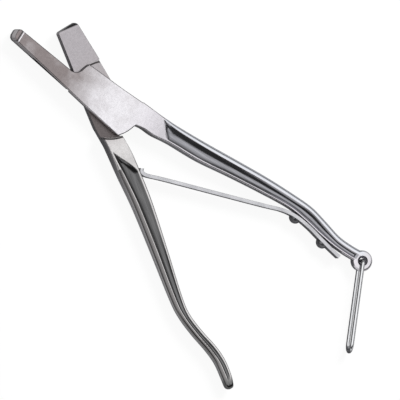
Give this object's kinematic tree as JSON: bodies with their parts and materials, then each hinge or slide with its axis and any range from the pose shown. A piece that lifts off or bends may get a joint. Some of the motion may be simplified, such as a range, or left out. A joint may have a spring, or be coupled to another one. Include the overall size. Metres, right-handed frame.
{
  "type": "livestock ear notcher",
  "caption": "Steel livestock ear notcher: punch lever and slotted die lever on a lap joint, with a leaf spring and a wire keeper bail on the handle.",
  "frame": {"origin": "the pivot's axis in the plane of the underside, on the face of the flush pivot rivet", "axes": "+X along the die lever from the pivot towards its handle's end, +Z along the pivot out of the front face, the tool lying flat"},
  "size_m": [0.3016, 0.145, 0.014],
  "materials": {
    "die_steel": "plated forged steel, satin jaw, polished handle",
    "punch_steel": "plated forged steel, satin punch, polished handle",
    "pivot_steel": "ground flush and satin",
    "spring_steel": "bright spring strip",
    "rivet_steel": "dark round-headed rivet",
    "bail_wire": "bright drawn wire"
  },
  "bodies": {
    "die_lever": {"die_lever": "die_steel", "pivot_rivet": "pivot_steel", "leaf_spring": "spring_steel", "spring_rivet_inner": "rivet_steel", "spring_rivet_outer": "rivet_steel"},
    "punch_lever": {"punch_lever": "punch_steel"},
    "keeper_bail": {"keeper_bail": "bail_wire"}
  },
  "joints": [
    {"name": "lever_pivot", "type": "hinge", "parent": "die_lever", "child": "punch_lever", "pos_m": [0, 0, 0.007], "axis": [0, 0, 1], "range_deg": [0, 25], "stiffness_Nm_per_rad": 6, "deforming": ["leaf_spring"]},
    {"name": "bail_swing", "type": "hinge", "parent": "die_lever", "child": "keeper_bail", "pos_m": [0.1995, 0.004, 0.007], "axis": [0, 0, 1], "range_deg": [-71, 230]}
  ]
}
